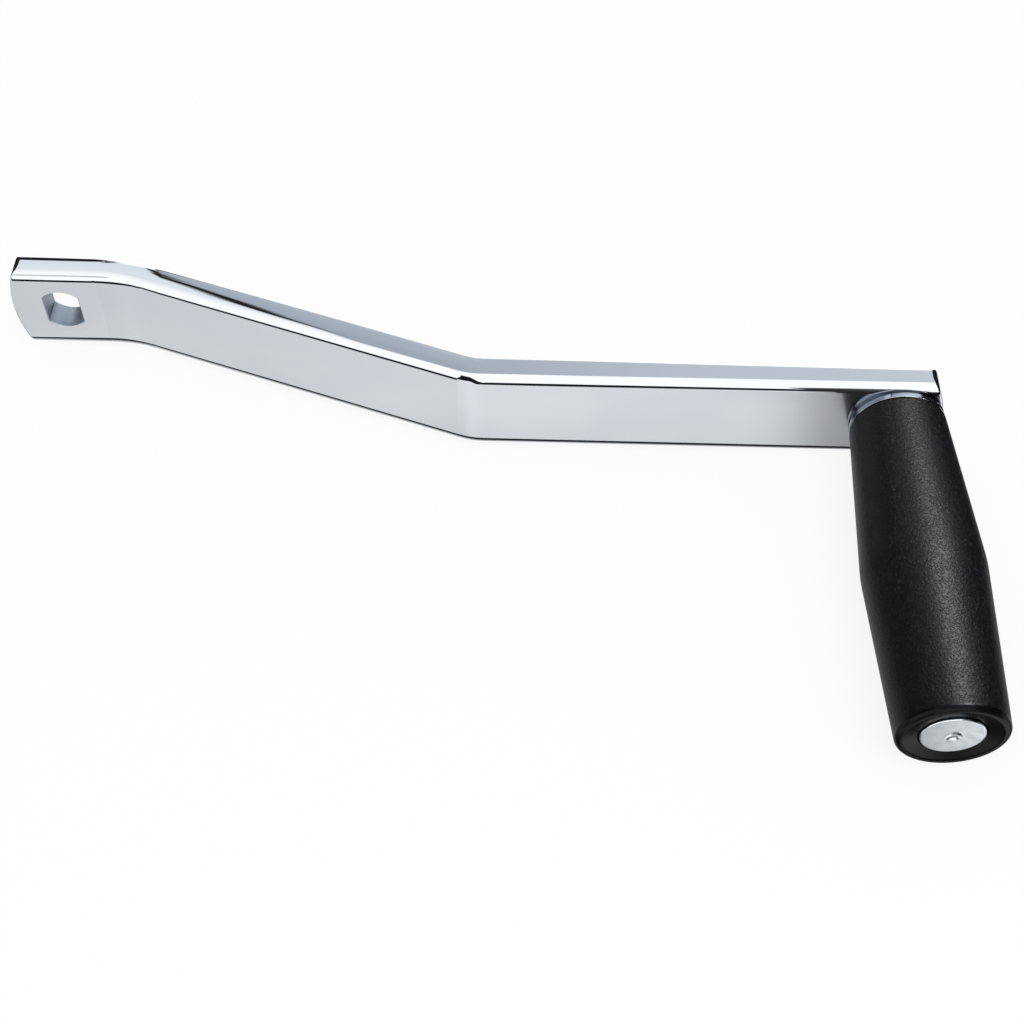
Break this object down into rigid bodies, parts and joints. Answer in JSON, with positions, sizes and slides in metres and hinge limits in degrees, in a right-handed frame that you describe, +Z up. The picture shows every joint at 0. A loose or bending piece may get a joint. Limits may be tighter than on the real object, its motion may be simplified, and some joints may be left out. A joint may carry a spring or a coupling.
{
  "type": "crank handle",
  "caption": "Chrome-plated flat-bar crank arm, joggled once, with a double-D shaft hole at the hub and a free-turning black plastic grip on a riveted pin.",
  "frame": {"origin": "centre of the double-D shaft hole on the hub's back face, which seats on the shaft's shoulder", "axes": "+X along the arm to the grip, +Z up across the bar's width, +Y along the shaft towards the machine, so the grip points to -Y"},
  "size_m": [0.2593, 0.1372, 0.0308],
  "materials": {
    "arm_chrome": "bright chrome plate",
    "collar_steel": "bright plated steel",
    "grip_plastic": "black, fine leather grain, with a smooth polished tip",
    "pin_steel": "zinc-plated steel"
  },
  "bodies": {
    "crank": {"crank_arm": "arm_chrome", "collar": "collar_steel", "grip_pin": "pin_steel"},
    "handgrip": {"grip": "grip_plastic"}
  },
  "joints": [
    {"name": "grip_spin", "type": "hinge", "parent": "crank", "child": "handgrip", "pos_m": [0.23, -0.091, 0], "axis": [0, -1, 0], "continuous": true}
  ]
}
